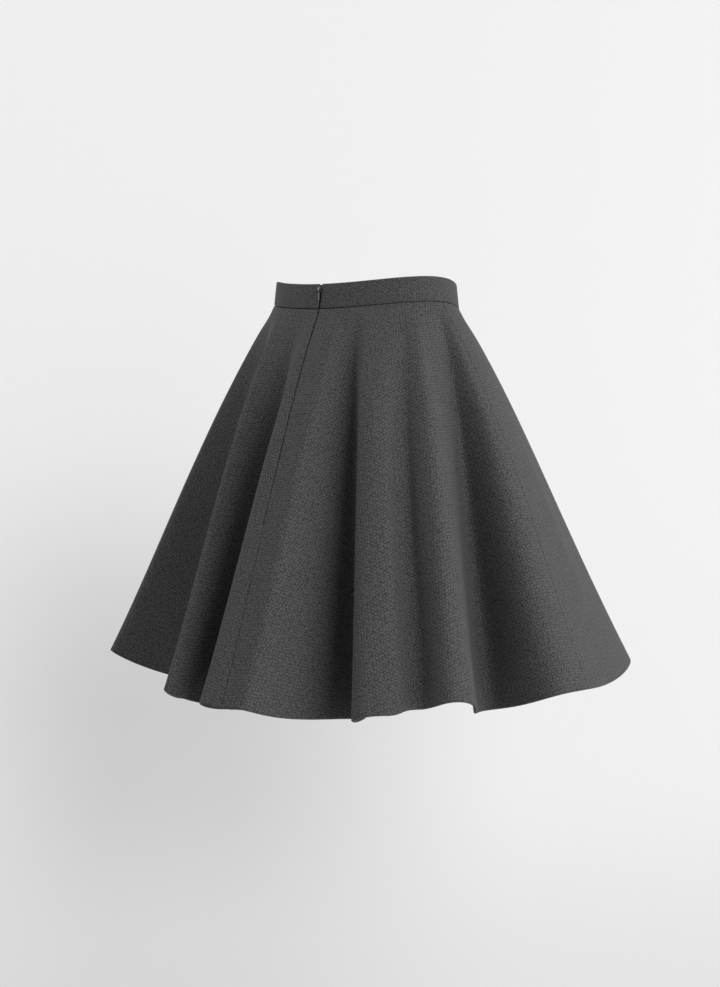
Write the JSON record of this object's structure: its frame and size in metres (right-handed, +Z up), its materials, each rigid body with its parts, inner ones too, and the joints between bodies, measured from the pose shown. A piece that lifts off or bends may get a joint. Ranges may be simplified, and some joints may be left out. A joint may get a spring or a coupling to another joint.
{
  "type": "a-line skirt",
  "caption": "Flared knee-length skirt of thick charcoal cloth, straight waistband, concealed back zip with a small swinging pull tab, soft folds deepening to an even hem.",
  "frame": {"origin": "middle of the waist opening, at half the height of the waistband", "axes": "+Z up, the front faces -Y, the zip is at +Y and the wearer's right side is -X"},
  "size_m": [0.6395, 0.6328, 0.4954],
  "materials": {
    "cloth": "matt thick jacquard knit with a small raised honeycomb",
    "band_cloth": "the same cloth, double and pressed flat",
    "zip_tape": "fine dark woven tape",
    "zip_metal": "dark satin metal"
  },
  "bodies": {
    "skirt": {"skirt_front": "cloth", "skirt_back_left": "cloth", "skirt_back_right": "cloth", "waistband": "band_cloth", "zip_tape_left": "zip_tape", "zip_tape_right": "zip_tape", "zip_slider": "zip_metal"},
    "pull_tab": {"zip_pull": "zip_metal"}
  },
  "joints": [
    {"name": "pull_tab_swing", "type": "hinge", "parent": "skirt", "child": "pull_tab", "pos_m": [0, 0.08578, 0.00985], "axis": [1, 0, 0], "range_deg": [0, 165]}
  ]
}
